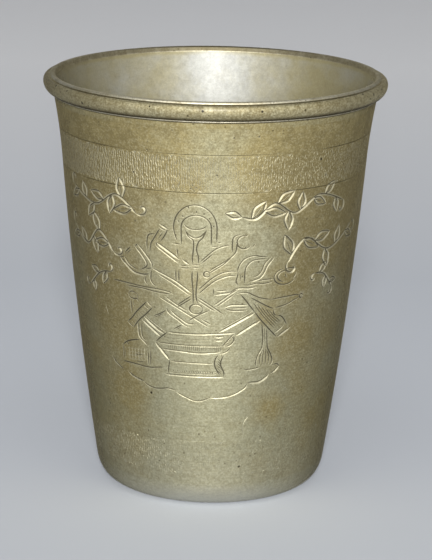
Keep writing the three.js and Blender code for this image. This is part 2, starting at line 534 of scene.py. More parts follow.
# The hand bellows at the right, hatched along their leather, with handle and spout
BELLOWS = [
    curve((6.7, 65.4), (7.8, 65.8), (9.8, 65.6), (11.3, 64.8), (13.3, 63.9), (16.2, 63.2)),
    curve((7.6, 65.3), (9.4, 63.1), (10.5, 61.6), (11.8, 60)),
    curve((11.8, 60), (13.5, 57.7), (16.3, 54.6), (18.9, 51.9)),
    curve((10.5, 64.2), (13.3, 62.5), (16, 61), (17.4, 60.4)),
    curve((17.4, 60.4), (17.6, 58.9), (18.6, 58.2)),
    curve((18.6, 58.2), (19.8, 58), (21, 56.8), (22, 55.1)),
    broad((19.1, 51.8), (23, 54.1)),
    bold((18.1, 53), (20.9, 54.9)),
    curve((16.2, 63.2), (20, 63.5), (24, 63.7), (25.4, 63.4)),
    curve((17.7, 60.6), (20.8, 61.1), (23, 61.9), (25.5, 62.9)),
    loop(26.1, 63.1, 0.6, 0.6),
    broad((2.2, 54.3), (7, 57), (11.7, 59.6)),
    broad((6.9, 53.2), (10.3, 55.4), (13.6, 57.3)),
    fine((2.6, 55.3), (11.1, 60.2)),
]
BELLOWS += bellows_folds()

# The long brush hanging under the bellows, and the dash of ground by its foot
BRUSH = [
    curve((14.1, 56.4), (14.7, 52.5), (14.6, 49), (13.6, 47), (13.05, 45), (13.1, 43.5)),
    curve((15.75, 54.8), (16, 52), (16.4, 48.9), (17.5, 46.9), (18.1, 45.3), (18, 44.2), (17.4, 43.3)),
    fine((15, 55.3), (15.3, 50.5)),
    bristle((15.1, 48.9), (14.3, 46.4), (14.2, 43.7)),
    bristle((15.4, 49.2), (15.1, 46.4), (15.1, 43.5)),
    bristle((15.8, 48.9), (16.1, 46), (16, 43.5)),
    bristle((16.2, 48.3), (17, 46.2), (17, 43.9)),
    curve((9.2, 43), (11.2, 42.7), (14.6, 43.2)),
    curve((18.2, 43.5), (20, 43.6), (20.6, 42.8)),
]

# The sledge at the left, with its hatched head and its handle over the anvil's horn
LEFT_HAMMER = [
    bold((-18.5, 61.8), (-16.8, 60.3)),
    bold((-19.3, 60.5), (-17.9, 59.6)),
    curve((-18.5, 61.8), (-22, 58.3), (-23.6, 56.3), (-25.2, 54.8)),
    curve((-16.8, 60.3), (-19, 58), (-21.2, 56), (-23.2, 53.5)),
    bold((-25.2, 54.8), (-23.2, 53.5)),
    broad((-19.4, 57.1), (-16.5, 54.8), (-13.4, 52.9)),
    broad((-20.1, 56.2), (-17.4, 54.1), (-14.5, 51.9)),
    fine((-18.9, 57.4), (-13, 53.5)),
    curve((-24.2, 63.7), (-23, 64.1), (-21.3, 63.6)),
    curve((-24.3, 63), (-23.9, 62.3), (-22.6, 62), (-21.5, 62.2), (-21.1, 61.3)),
    curve((-24.2, 63.7), (-24.3, 63)),
    curve((-21.3, 63.6), (-21.3, 62.4)),
    curve((-23.7, 61.8), (-23.5, 57.4)),
    fine((-22.9, 61.7), (-22.8, 59.4)),
]
LEFT_HAMMER += hatch((-19.6, 59.8), (-24, 55), (1.1, -0.9), 8)

# The slack tub behind the anvil's left side, with the stick that stands in it
TUB = [
    curve((-27.5, 47.5), (-27.6, 43.4)),
    fine((-26.8, 46.8), (-26.9, 43.4)),
    curve((-27.5, 47.5), (-25.8, 48.8), (-23.2, 49.7), (-21.4, 50)),
    curve((-18, 47.3), (-18.3, 42.9)),
    curve((-18.9, 47), (-18.9, 42.8)),
    fine((-23.6, 45.2), (-20.2, 45.7)),
    fine((-23.3, 43.1), (-20, 43.5)),
    curve((-28, 42.5), (-23.5, 42.4), (-19.2, 42.1), (-16.5, 42.4), (-14, 42.8)),
    dot(-25.8, 48.1),
    bold((-21.6, 55.3), (-21.6, 52), (-21.2, 50.7), (-20, 49.7), (-18.7, 48.4)),
    curve((-20.6, 55.2), (-20.6, 52), (-20.3, 50.8), (-19.2, 50)),
]
TUB += hatch((-25.8, 47.4), (-19.4, 48), (0, -4.2), 6, FAINT_WIDTH, FAINT_DIRT)
TUB += hatch((-26.3, 47.4), (-26.3, 43.2), (6.8, 0.2), 4, FAINT_WIDTH, FAINT_DIRT)

# The anvil on its block, hatched along its body and its right side
ANVIL = [
    bold((-12.5, 53.5), (-5.2, 53.45), (0, 53.65), (6.4, 53.95)),
    curve((-12.5, 53.5), (-14.6, 51.8), (-16.2, 50.2)),
    broad((0.8, 52.75), (3, 52.75)),
    broad((0.8, 51.75), (3, 51.75)),
    curve((6.4, 53.9), (4.6, 51.8), (2.8, 49.6)),
    curve((6.2, 53), (6.2, 51.5), (5, 50.2), (3.6, 49.9)),
    curve((-15.2, 50.1), (-6, 49.95), (3, 50)),
    bold((-14.2, 48.3), (-9, 48.1), (-4, 47.8), (0, 48), (2.4, 48.25)),
    curve((2.5, 47.6), (4.5, 48.5), (5.3, 49.7)),
    broad((-16.4, 50.1), (-14.5, 47.9), (-12.2, 45.2)),
    curve((-12.2, 45.2), (-12.8, 41.2)),
    curve((3.5, 47.3), (2.8, 45.5), (2.8, 44), (3.7, 42), (3.6, 40.8)),
    curve((2, 47.5), (1.05, 45.8), (1.1, 43.8), (2.5, 41.2)),
    curve((-11.8, 44.9), (0.5, 44.75)),
    bold((-13.5, 40.75), (3.5, 40.75)),
    fine((-12.3, 41.5), (1.5, 41.5)),
    fine((-3, 42.2), (1.4, 42.1)),
]
ANVIL += hatch((-13.7, 49.9), (2.9, 49.9), (0, -1.5), 30)
ANVIL += hatch((1.5, 47), (1.6, 42.6), (1.5, -1.6), 6)
ANVIL += hatch((-11.6, 42.5), (0.6, 42.4), (0.2, -0.8), 18)
ANVIL += hatch((3.4, 50.4), (5.4, 53), (1, -0.4), 6)
ANVIL += hatch((-13.2, 53.2), (-13.9, 50.3), (13.6, 0.1), 3, FAINT_WIDTH, ANVIL_DIRT)

# The scalloped line that carries the trophy
GROUND = [
    bold((-32.5, 42.9), (-31.2, 41.5), (-29.5, 40.5), (-28.2, 40)),
    broad((-26.1, 39.4), (-24.5, 38.5), (-22.6, 37.9), (-20.9, 37.7)),
    curve((-20.8, 37.3), (-19, 36.4), (-17, 36), (-15, 36.2), (-12.8, 36.5), (-10.4, 36)),
    curve((-10.2, 35.5), (-7.6, 34.3), (-5.3, 33.4), (-3.2, 33.3), (-1.2, 34), (0, 34.4)),
    bold((0, 34.4), (3.5, 34.5), (6.2, 35.1), (8.3, 36), (10.2, 37.3), (10.7, 38.5)),
    broad((10.9, 38.8), (14, 38.65), (16, 39.5), (17.3, 40.7)),
    broad((17.9, 40.9), (19.3, 41.6), (20.6, 43)),
]

# All of the trophy, in the order in which it is cut
TROPHY = [
    *HORSESHOE, *LADLE, *UPPER_LEFT_TOOLS, *LEFT_PINCERS, *LEFT_RODS, *HOOKED_TOOL, *RIGHT_TONGS,
    *EYED_TOOL, *BELLOWS, *BRUSH, *LEFT_HAMMER, *TUB, *ANVIL, *GROUND,
]


# Leaf sprays

# Parts of a leaf, as shares of its length
LEAF_SPREAD = 0.2
LEAF_MIDDLE = 0.42
LEAF_SHOULDER = 0.75
SHOULDER_SPREAD = 0.62
MIDRIB = 0.7

# Leaves on a stem: spacing, turn, how much shorter the last one is, and sizes at the stem's ends
FIRST_LEAF = 0.7
SPARE_STEM = 0.6
LEAF_TURN = 0.95
LEAF_SHRINK = 0.3
CURL_SIZE = 0.3
END_LEAF = 0.7

# Steps of a curl, the angle that it winds through, and how it closes and drifts
CURL_STEPS = 14
CURL_WIND = 4.6
CURL_CLOSE = 0.72
CURL_DRIFT = 0.25


def heading(start, end):
    return math.atan2(end[1] - start[1], end[0] - start[0])


def turned_by(place, angle, along, across):
    """A point at a distance along and across a direction from a place."""
    return (place[0] + along * math.cos(angle) - across * math.sin(angle),
            place[1] + along * math.sin(angle) + across * math.cos(angle))


def leaf(place, angle, length):
    """A pointed leaf: two curved edges and a midrib."""
    cuts = []
    for side in (1, -1):
        spread = length * LEAF_SPREAD * side
        middle = turned_by(place, angle, length * LEAF_MIDDLE, spread)
        shoulder = turned_by(place, angle, length * LEAF_SHOULDER, spread * SHOULDER_SPREAD)
        cuts.append(spray_curve(place, middle, shoulder, turned_by(place, angle, length, 0)))
    cuts.append(fine(place, turned_by(place, angle, length * MIDRIB, 0)))
    return cuts


def tendril(place, angle, size, side):
    """A curl that starts along a direction and winds in."""
    points = []
    for step in range(CURL_STEPS + 1):
        share = step / CURL_STEPS
        radius = size * (1 - CURL_CLOSE * share)
        turn = angle + side * (share * CURL_WIND - QUARTER_TURN)
        centre = turned_by(place, angle, size * CURL_DRIFT * share, size * side)
        points.append((centre[0] + radius * math.cos(turn), centre[1] + radius * math.sin(turn)))
    return spray_curve(*points)


def spray(points, leaf_length, leaves, leafy_start=False):
    """A waving stem with leaves on alternate sides, a curl at its end, and a curl or a leaf at its start."""
    stem = smooth(points)
    cuts = [spray_curve(*points)]
    for index in range(leaves):
        share = (index + FIRST_LEAF) / (leaves + SPARE_STEM)
        spot = min(int(share * (len(stem) - 1)), len(stem) - 2)
        side = 1 if index % 2 == 0 else -1
        angle = heading(stem[spot], stem[spot + 1]) + side * LEAF_TURN
        cuts += leaf(stem[spot], angle, leaf_length * (1 - LEAF_SHRINK * share))
    cuts.append(tendril(stem[-1], heading(stem[-2], stem[-1]), leaf_length * CURL_SIZE, -1))
    back = heading(stem[1], stem[0])
    if leafy_start:
        return cuts + leaf(stem[0], back, leaf_length * END_LEAF)
    return cuts + [tendril(stem[0], back, leaf_length * CURL_SIZE, 1)]


def leaf_sprays():
    """Plain sprays at both sides of the trophy."""
    return [
        *spray([(7.2, 87.6), (11, 87), (16, 91), (22, 87.8), (29.5, 92), (39, 89)], 6.4, 8, True),
        *spray([(20.5, 73.5), (26, 80), (35, 75.5), (46, 81)], 7, 6),
        *spray([(30.5, 69), (34.5, 68), (38.5, 63.5)], 4.4, 3),
        *spray([(-20.5, 87), (-27, 91.5), (-35, 87.5), (-45, 91)], 6.4, 7),
        *spray([(-28.5, 74.5), (-34, 80), (-40, 75), (-47, 79.5)], 6.2, 5),
        *spray([(-30.5, 68.5), (-35, 67.3), (-40, 63)], 4.6, 3),
    ]


# Rocked bands

# Scales of the noise that sways a stroke, wears patches and breaks strokes up, and the weights of the last two
SWAY_SCALE = (2.1, 0.9)
PATCH_SCALE = (0.08, 0.2)
STROKE_SCALE = (1.9, 1.8)
STROKE_SEED = 50
PATCH_WEIGHT = 0.4
STROKE_WEIGHT = 1.6


def noise_at(u, v, scale, seed):
    return noise.noise(Vector((u * scale[0], v * scale[1], seed)))


def rocked_cuts(band):
    """Upright wavering cuts side by side between two heights, shallower or gone where the metal is worn.

    Each is a list of places with how much of the cut is left there.
    """
    cuts = []
    low, rise = band.low, band.high - band.low
    pitch = 2 * (SHEET_HALF - SEAM_MARGIN) / band.count
    steps = round(rise / ROCKED_STEP)
    for index in range(band.count):
        middle = SEAM_MARGIN - SHEET_HALF + pitch * (index + 0.5)
        rubbed = ROCKED_RUB * math.exp(-((middle - RUB_PLACE) / RUB_SPREAD) ** 2)
        rubbed += ROCKED_SIDE_RUB * math.sin(middle / SHEET_RADIUS)
        cut = []
        for step in range(steps + 1):
            height = low + rise * step / steps
            sway = noise_at(middle, height, SWAY_SCALE, low)
            patch = noise_at(middle, height, PATCH_SCALE, low)
            stroke = noise_at(middle, height, STROKE_SCALE, low + STROKE_SEED)
            left = band.share + PATCH_WEIGHT * patch + STROKE_WEIGHT * stroke - rubbed
            cut.append(((middle + ROCKED_SWAY * sway, height), band.strength * held_in(left)))
        cuts.append(cut)
    return cuts


def wear_marks():
    """A few bright scratches, kept clean of dirt, and a few dark nicks and specks."""
    return [
        scratch((11.6, 28.2), (10.4, 26.6), (10.1, 24.6), (10.6, 22.4)),
        scratch((-12, 24.5), (-9.6, 25.2)),
        scratch((22.5, 36.5), (24.6, 34.9)),
        scratch((-33.5, 58), (-32.6, 55.4)),
        scratch((66, 40), (72, 48), (75, 56)),
        scratch((-84, 60), (-78, 66)),
        scratch((112, 30), (104, 41)),
        *dots((0.7, 99.5), (4.6, 110), (10.6, 110.3), (-16.8, 105.6), (-21, 98.8), (31, 97.5), (-37.5, 44.5),
              (-20.5, 22.5), (8.7, 14.6), (57, 88), (-70, 50), (98, 72), size=NICK_SIZE),
        *dots((-5.8, 95.6), (-4.9, 94.9), (-4.3, 95.9), (-5.3, 96.5), (-6.2, 94.8), (-16.5, 108), (-24.6, 104.4),
              size=SPECK_SIZE),
    ]


# Engraved sheet

def cut_rows(cut):
    """The middle of a cut with its half width at each point, drawn in to a point at both ends."""
    lengths = [0]
    for start, end in zip(cut.path, cut.path[1:]):
        lengths.append(lengths[-1] + math.dist(start, end))
    total = lengths[-1]
    taper = min(CUT_TAPER, total / 2)
    rows = []
    for point, along in zip(cut.path, lengths):
        room = min(along, total - along) / taper
        rows.append((point, cut.width / 2 * min(1, POINT_SHARE + (1 - POINT_SHARE) * room)))
    return rows


def side_of(path, index):
    """Unit vector across a path at one of its points, on the side that points up."""
    before = path[max(0, index - 1)]
    after = path[min(len(path) - 1, index + 1)]
    along = (after[0] - before[0], after[1] - before[1])
    length = math.hypot(*along) or 1
    sign = 1 if along[0] >= 0 else -1
    return (-along[1] / length * sign, along[0] / length * sign)


def inward_share(u):
    """From 1 at the left through 0 at the front to -1 at the right."""
    return held_in(-u / LEAN_SIDE, -1)


def lean_of(path, index):
    """Where the deepest line lies from the middle of a cut, in half widths: up, and towards the front."""
    across = side_of(path, index)
    inwards = inward_share(path[index][0])
    share = CUT_LEAN * (across[0] * inwards + across[1]) / math.hypot(inwards, 1)
    return (across[0] * share, across[1] * share)


class Sheet:
    """Points, edges and depths of the engraved outside of the wall."""

    def __init__(self):
        self.points = []
        self.edges = []
        self.cells = {}

    def add_point(self, u, v):
        self.points.append(Vector((u, v)))
        return len(self.points) - 1

    def add_chain(self, places):
        indices = [self.add_point(*place) for place in places]
        self.edges += zip(indices, indices[1:])

    def add_stretch(self, start, end, half_start, half_end, slope, lean=(0, 0), dirt=1):
        """Notes a stretch of cut, so that depths near it can be found."""
        reach = max(half_start, half_end) * (1 + math.hypot(*lean)) + CLEAR_OF_CUTS
        spans = []
        for first, last in zip(start, end):
            low = math.floor((min(first, last) - reach) / CELL)
            high = math.floor((max(first, last) + reach) / CELL)
            spans.append(range(low, high + 1))
        stretch = Stretch(start, end, half_start, half_end, slope, lean, dirt)
        for cell in product(*spans):
            self.cells.setdefault(cell, []).append(stretch)

    def add_cut(self, cut):
        """Lays out a cut by its two edges and its deepest line, which leans to one of them."""
        rows = cut_rows(cut)
        path = [point for point, half in rows]
        deepest, edges = [], ([], [])
        for index, (point, half) in enumerate(rows):
            across = side_of(path, index)
            deepest.append(moved(point, lean_of(path, index), half))
            edges[0].append(moved(point, across, half))
            edges[1].append(moved(point, across, -half))
        caps = [end_of(path), end_of(path[::-1])]
        self.add_chain(deepest)
        self.add_chain([caps[1], *edges[0], caps[0]])
        self.add_chain([caps[1], *edges[1], caps[0]])
        for index in range(len(rows) - 1):
            lean = lean_of(path[index:index + 2], 0)
            slope = cut.slope * (1 + SIDE_SLOPE * abs(inward_share(path[index][0])))
            self.add_stretch(*deepest[index:index + 2], rows[index][1], rows[index + 1][1], slope, lean, cut.dirt)

    def add_rocked(self, cut, dirt):
        """A wavering upright cut, left out where nothing of it is left."""
        slope = ROCKED_DEPTH / ROCKED_WIDTH * 2
        before = None
        for index, (place, left) in enumerate(cut):
            near = [share for other, share in cut[max(0, index - 1):index + 2]]
            if max(near) == 0:
                before = None
                continue
            half = ROCKED_WIDTH / 2 * left
            middle = self.add_point(*place)
            sides = [middle, middle]
            if left > 0:
                sides = [self.add_point(place[0] - half, place[1]), self.add_point(place[0] + half, place[1])]
            if before:
                self.edges += zip(before[0], [middle] + sides)
                self.add_stretch(before[1], place, before[2], half, slope, dirt=dirt)
            before = ([middle] + sides, place, half)

    def near(self, u, v):
        """Stretches of cut near a place, with the distance and the way from each, and its half width there."""
        for stretch in self.cells.get((math.floor(u / CELL), math.floor(v / CELL)), ()):
            distance, share, gap = reach_of(u, v, stretch.start, stretch.end)
            yield stretch, distance, gap, stretch.half_start + (stretch.half_end - stretch.half_start) * share

    def depth(self, u, v):
        """Depth of the metal cut away at a place, how far in from the cut's edge it is, and the dirt there.

        The dirt falls below 0 towards the edges of a wide cut, so that it keeps near the deepest line.
        """
        deepest, inward, dark = 0, 0, 0
        for line, line_depth in TURNED_LINES.items():
            room = 1 - abs(v - line) / (TURNED_WIDTH / 2)
            if room > 0:
                left = turned_line_left(u, line)
                deepest = max(deepest, room * line_depth * left)
                dark = room * left * line_depth / DARK_DEPTH
        for stretch, distance, gap, half in self.near(u, v):
            if half <= 0:
                continue
            lean = math.hypot(*stretch.lean)
            near_edge = gap[0] * stretch.lean[0] + gap[1] * stretch.lean[1] > 0
            reach = half * (1 - lean if near_edge else 1 + lean)
            room = 1 - distance / reach
            depth = room * half * stretch.slope
            if depth > deepest - SAME_DEPTH and room > -EDGE_ROOM:
                deepest = depth
                full = min(1, half / FULL_HALF)
                inward = room * full
                dark = stretch.dirt * full * (room + (1 - room) * min(0, 1 - reach / DIRT_REACH))
        return max(0, deepest), max(0, inward), dark

    def clear(self, u, v):
        """Whether a place stands clear of every cut."""
        if any(abs(v - line) < TURNED_WIDTH / 2 + CLEAR_OF_CUTS for line in TURNED_LINES):
            return False
        for stretch, distance, gap, half in self.near(u, v):
            if distance < half * (1 + math.hypot(*stretch.lean)) + CLEAR_OF_CUTS:
                return False
        return True


def end_of(path):
    """A place just past the end of a cut, where the surface is whole again."""
    before, last = path[-2:]
    length = math.dist(before, last) or 1
    along = ((last[0] - before[0]) / length, (last[1] - before[1]) / length)
    return moved(last, along, END_ROOM)


def turned_line_left(u, line):
    """How much of a turned line is left, from 0 where it is worn away to 1."""
    angle = u / SHEET_RADIUS
    wear = noise.noise(Vector((math.sin(angle) * WORN_SCALE, math.cos(angle) * WORN_SCALE, line)))
    front = math.exp(-((u - WORN_PLACE) / WORN_SPREAD) ** 2)
    return held_in(WORN_LEFT + WORN_PATCHES * wear - WORN_FRONT * front)


def reach_of(u, v, start, end):
    """Distance from a straight stretch to a place, the share along it of the nearest point, and the way."""
    along_u = end[0] - start[0]
    along_v = end[1] - start[1]
    square = along_u * along_u + along_v * along_v
    share = ((u - start[0]) * along_u + (v - start[1]) * along_v) / square if square else 0
    share = held_in(share)
    gap_u = u - start[0] - share * along_u
    gap_v = v - start[1] - share * along_v
    return math.hypot(gap_u, gap_v), share, (gap_u, gap_v)


def laid_out_sheet():
    """The sheet with its border, turned lines, cuts and a grid that keeps clear of them."""
    sheet = Sheet()
    for cut in wear_marks() + TROPHY + leaf_sprays():
        sheet.add_cut(cut)
    for band in BANDS:
        for cut in rocked_cuts(band):
            aside = abs(math.sin(cut[0][0][0] / SHEET_RADIUS))
            # Dirt in the strokes, with more towards the sides as painted shade of their relief
            sheet.add_rocked(cut, band.dirt + band.side_dirt * aside)
    levels = [SHEET_LOW, SHEET_HIGH]
    for line in TURNED_LINES:
        levels += [line - TURNED_WIDTH / 2, line, line + TURNED_WIDTH / 2]
    for height in levels:
        sheet.add_chain([(u, height) for u in COLUMNS])
    rows = round((SHEET_HIGH - SHEET_LOW) / SHEET_ROW)
    for row in range(1, rows):
        height = SHEET_LOW + (SHEET_HIGH - SHEET_LOW) * row / rows
        for u in COLUMNS:
            if sheet.clear(u, height):
                sheet.add_point(u, height)
    return sheet


# Meshes

def on_wall(u, radius, height):
    angle = u / SHEET_RADIUS
    return (radius * math.sin(angle), -radius * math.cos(angle), height)


def wall_normal(u, height):
    """Outward direction of the uncut wall."""
    rise = wall_radius(height + SLOPE_STEP) - wall_radius(height - SLOPE_STEP)
    slope = rise / (2 * SLOPE_STEP)
    angle = u / SHEET_RADIUS
    return Vector((math.sin(angle), -math.cos(angle), -slope)).normalized()


def add_rings(points, profile, rough=0):
    """Turns a profile, drawn in a little by soft dents where it is rough, and gives the rings of its points."""
    rings = []
    for radius, height in profile:
        start = len(points)
        for u in COLUMNS[:-1]:
            place = Vector(on_wall(u, radius, height))
            dents = noise.noise(place * DENT_SCALE) + FINE_DENT * noise.noise(place * FINE_DENT_SCALE)
            points.append(on_wall(u, radius + rough * (dents - 1), height))
        rings.append(range(start, len(points)))
    return rings


def joined_rings(rings):
    """Faces between each ring of points and the next one. A ring that is all one point gets triangles."""
    faces = []
    for lower, upper in zip(rings, rings[1:]):
        for index in range(TURN_SEGMENTS):
            after = (index + 1) % TURN_SEGMENTS
            corners = (lower[index], lower[after], upper[after], upper[index])
            faces.append(tuple(dict.fromkeys(corners)))
    return faces


def foot_corner():
    """The rounded corner under the side, which leaves it without a kink."""
    points = []
    for step in range(FOOT_STEPS + 1):
        drop = math.sin(QUARTER_TURN * step / FOOT_STEPS)
        height = FOOT_ROUND_HEIGHT * (1 - drop)
        width = wall_radius(height) - CONTACT_RADIUS
        points.append((CONTACT_RADIUS + width * math.sqrt(1 - drop ** FOOT_CURVE), height))
    return points


def rim_corner(centre, start, end):
    return arc(centre, RIM_START, RIM_ROUND, RIM_ROUND, start, end, RIM_STEPS)


def rest_of_wall():
    """Profile of the wall from the sheet's lower edge round the foot, the inside and the rim to its upper edge."""
    seat = [(SEAT_RADIUS, 0), (SEAT_RADIUS, DISC_TOP), (LEDGE_RADIUS, DISC_TOP), (LEDGE_RADIUS, LEDGE_TOP)]
    cove_centre = inner_radius(COVE_TOP) - COVE_WIDTH
    cove = arc(cove_centre, COVE_TOP, COVE_WIDTH, COVE_HEIGHT, -QUARTER_TURN, 0, COVE_STEPS)
    upper = RIM_START - UPPER_INSIDE
    inside = face(inner_radius, COVE_TOP, upper, INSIDE_STEPS)[1:-1]
    inside += face(inner_radius, upper, RIM_START, UPPER_STEPS)
    rim = rim_corner(inner_radius(RIM_START) + RIM_ROUND, math.pi, QUARTER_TURN)[1:]
    rim += rim_corner(wall_radius(RIM_START) - RIM_ROUND, QUARTER_TURN, 0)
    behind_ring = face(wall_radius, RIM_START, RING_TOP - BEHIND_RING, JOINT_STEPS)[1:]
    behind_ring += face(wall_radius, RING_BOTTOM, SHEET_HIGH, FLARE_STEPS)[:-1]
    return foot_corner()[1:] + seat + cove + inside + rim + behind_ring


def patina(u):
    """Patina on the sides and the back. The front is rubbed cleaner."""
    return PATINA_STRENGTH * held_in((abs(u / SHEET_RADIUS) - PATINA_START) / PATINA_RISE)


def on_inside(x, y, height):
    """Whether a place on the wall is nearer to its inside."""
    return math.hypot(x, y) < wall_radius(height) - WALL_THICKNESS / 2


def dirt_and_shade_on_wall(x, y, height):
    """Dirt along the rim, cleaner at the front, dark joints by the lip ring, and painted shade at the back rim and
    inside ends.
    """
    radius = math.hypot(x, y)
    kept = max(0, 1 - FRONT_RUB * max(0, -y / radius) ** 2)
    behind = max(0, y / radius)
    if on_inside(x, y, height):
        # Painted shade: the band inside the back of the rim is darkened, over the dirt along it
        share = INSIDE_DIRT * kept + INSIDE_BACK_SHADE * behind ** 6
        edge = held_in((height - RIM_START + RIM_BAND) / INSIDE_FADE)
        # Painted shade: both ends of the inside are darkened, the left more than the right
        side = INSIDE_LEFT_SHADE if x < 0 else INSIDE_RIGHT_SHADE
        return max(share * edge, side * (x / radius) ** 6)
    # Painted shade along the back of the rim's top, over the dirt along the rim
    rim = RIM_DIRT * kept + RIM_BACK_SHADE * behind ** 4 if height > RIM_START else 0
    over = faded_joint(x, y) * (1 - abs(height - RING_TOP) / OVER_RING_REACH)
    # Dirt and painted shade in the joint under the ring
    under = 1 - abs(height - RING_BOTTOM + LIP_SOLDER_HEIGHT + UNDER_RING_DROP) / UNDER_RING_REACH
    aged = patina(SHEET_RADIUS * math.atan2(x, -y)) if height < RING_BOTTOM else 0
    return min(1, max(aged, rim, OVER_RING_DARK * over, UNDER_RING_DIRT_AND_SHADE * under))


def inside_stain_and_highlight(x, y, height):
    """Brown staining inside, just under the rim, lowered at the back of the inside as a painted highlight."""
    if not on_inside(x, y, height):
        return 0
    rim = held_in((height - RIM_START + INSIDE_STAIN_DEPTH) / INSIDE_STAIN_FADE)
    return rim - INSIDE_HIGHLIGHT * math.exp(-(math.atan2(x, y) / INSIDE_HIGHLIGHT_SPREAD) ** 2)


def made_object(name, points, faces):
    mesh = bpy.data.meshes.new(name)
    mesh.from_pydata([(x * MM, y * MM, z * MM) for x, y, z in points], [], faces)
    mesh.update()
    made = bpy.data.objects.new(name, mesh)
    bpy.context.scene.collection.objects.link(made)
    return made


def set_values(piece, name, values):
    """Keeps one number for each point, for the materials to read."""
    layer = piece.data.attributes.new(name, "FLOAT", "POINT")
    layer.data.foreach_set("value", values)


def smooth_shading(mesh):
    mesh.shade_smooth()
    mesh.set_sharp_from_angle(angle=SHARP_ANGLE)


def spot_key(u, v):
    """The same for places that are one point of the wall, such as those where the sheet's two ends meet."""
    wraps = u > SHEET_HALF - 10 ** -SAME_DIGITS
    return (round(-SHEET_HALF if wraps else u, SAME_DIGITS), round(v, SAME_DIGITS))


def cut_surface(sheet):
    """Points and faces of the sheet closed round the wall, the place and the cut at each point, and their keys."""
    flat, edges, triangles = delaunay_2d_cdt(sheet.points, sheet.edges, [], 0, MERGED, True)[:3]
    keys = {}
    points, spots, cuts, same = [], [], [], []
    for u, v in flat:
        key = spot_key(u, v)
        if key not in keys:
            keys[key] = len(points)
            spots.append((u, v))
            cuts.append(sheet.depth(u, v))
            points.append(on_wall(u, wall_radius(v) - cuts[-1][0], v))
        same.append(keys[key])
    faces = [tuple(same[index] for index in triangle) for triangle in triangles]
    faces = [corners for corners in faces if len(set(corners)) == 3]
    return points, faces, spots, cuts, keys


def engraved_wall():
    """The whole wall: the cut sheet outside, joined to the turned foot, inside and rim."""
    points, faces, spots, cuts, keys = cut_surface(laid_out_sheet())
    low, high = [[keys[spot_key(u, edge)] for u in COLUMNS[:-1]] for edge in (SHEET_LOW, SHEET_HIGH)]
    rings = [low, *add_rings(points, rest_of_wall()), high]
    wall = made_object("wall_engraved", points, faces + joined_rings(rings[::-1]))
    turned = points[len(spots):]
    depths, inward, dark = [values + (0,) * len(turned) for values in zip(*cuts)]
    set_values(wall, "cut", inward)
    set_values(wall, "deep", dark)
    # Patina, dirt and painted shade, for the material's dirt tint
    set_values(wall, "dirt", [patina(u) for u, v in spots] + [dirt_and_shade_on_wall(*place) for place in turned])
    set_values(wall, "stain_and_sheen", [stains_and_sheen_at(*spot) for spot in spots] + [inside_stain_and_highlight(*place) for place in turned])
    paint_inside(wall.data)
    smooth_shading(wall.data)
    set_wall_normals(wall.data, len(faces), depths, spots)
    return wall


def stains_and_sheen_at(u, v):
    """Strength of the brown stains at a place on the sheet, below 0 on the front as a painted highlight."""
    total = 0
    for centre_u, centre_v, spread in STAINS:
        total += math.exp(-((u - centre_u) ** 2 + (v - centre_v) ** 2) / spread ** 2)
    return min(1, total) + SIDE_STAIN * (1 - math.exp(-(u / FRONT_SHEEN_SPREAD) ** 2)) - FRONT_SHEEN


def paint_inside(mesh):
    """Gives the second material to the faces of the inside, and the third to the worn rim."""
    for polygon in mesh.polygons:
        place = polygon.center / MM
        within = on_inside(*place)
        if place.z > RIM_START or (within and place.z > RIM_START - RIM_BAND):
            polygon.material_index = 2
        elif within and place.z > LEDGE_TOP - LEDGE_MARGIN:
            polygon.material_index = 1


def set_wall_normals(mesh, sheet_faces, depths, spots):
    """True normals on the uncut wall, flat ones in the cuts, and Blender's own elsewhere."""
    normals = []
    for polygon in mesh.polygons:
        corners = list(polygon.vertices)
        if polygon.index >= sheet_faces:
            normals += [(0, 0, 0)] * len(corners)
        elif max(depths[corner] for corner in corners) > CUT_NORMALS:
            normals += [tuple(polygon.normal)] * len(corners)
        else:
            normals += [tuple(wall_normal(*spots[corner])) for corner in corners]
    mesh.normals_split_custom_set(normals)


def turned_piece(name, profile, rough=0, poles=()):
    """A body turned from a profile that closes on itself, or that runs between two heights on the axis."""
    points = []
    rings = add_rings(points, profile, rough)
    if poles:
        rings = [[len(points)] * TURN_SEGMENTS, *rings, [len(points) + 1] * TURN_SEGMENTS]
        points += [(0, 0, height) for height in poles]
    else:
        rings.append(rings[0])
    piece = made_object(name, points, joined_rings(rings))
    smooth_shading(piece.data)
    return piece


def faded_joint(x, y):
    """How dark the joint over the ring is kept, less at both sides."""
    aside = abs(x) / math.hypot(x, y)
    return 1 - JOINT_FADE * held_in((aside - JOINT_FADE_START) / JOINT_FADE_RISE)


def lip_ring():
    """The ring with a film of solder in its bore, a dark top joint, dirt and painted shade on its sides and
    underside.
    """
    middle = (RING_TOP + RING_BOTTOM) / 2
    outside = []
    for step in range(RING_STEPS + 1):
        angle = -QUARTER_TURN + math.pi * step / RING_STEPS
        height = middle + LIP_RING_HEIGHT / 2 * math.sin(angle)
        stand = LIP_RING_EDGE + (LIP_RING_WIDTH - LIP_RING_EDGE) * math.cos(angle)
        outside.append((bore_radius(height) + stand, height))
    bore = face(wall_radius, RING_TOP, RING_BOTTOM, BORE_STEPS)
    ring = turned_piece("lip_ring_worn", outside + bore, RING_ROUGH)
    dirt = []
    for vertex in ring.data.vertices:
        x, y, z = vertex.co / MM
        radius = math.hypot(x, y)
        front = max(0, -y / radius) ** 2
        # Dirt with painted shade at the ring's sides; the extra darkening at the left is painted shade
        aside = (RING_SIDE_DIRT_AND_SHADE - RING_LEFT_SHADE * x / radius) * max(0, 1 - RING_FRONT_RUB * front)
        # Dirt and painted shade along the ring's underside, where its own shadow falls
        under = RING_UNDER_DIRT_AND_SHADE - (z - RING_BOTTOM) / (RING_UNDER_REACH - RING_FRONT_REACH * front)
        in_joint = radius < bore_radius(z) + LIP_RING_EDGE * RING_JOINT_SHARE
        joint = faded_joint(x, y) if z > middle else 1
        dirt.append(joint if in_joint else max(aside, under))
    set_values(ring, "dirt", dirt)
    return ring


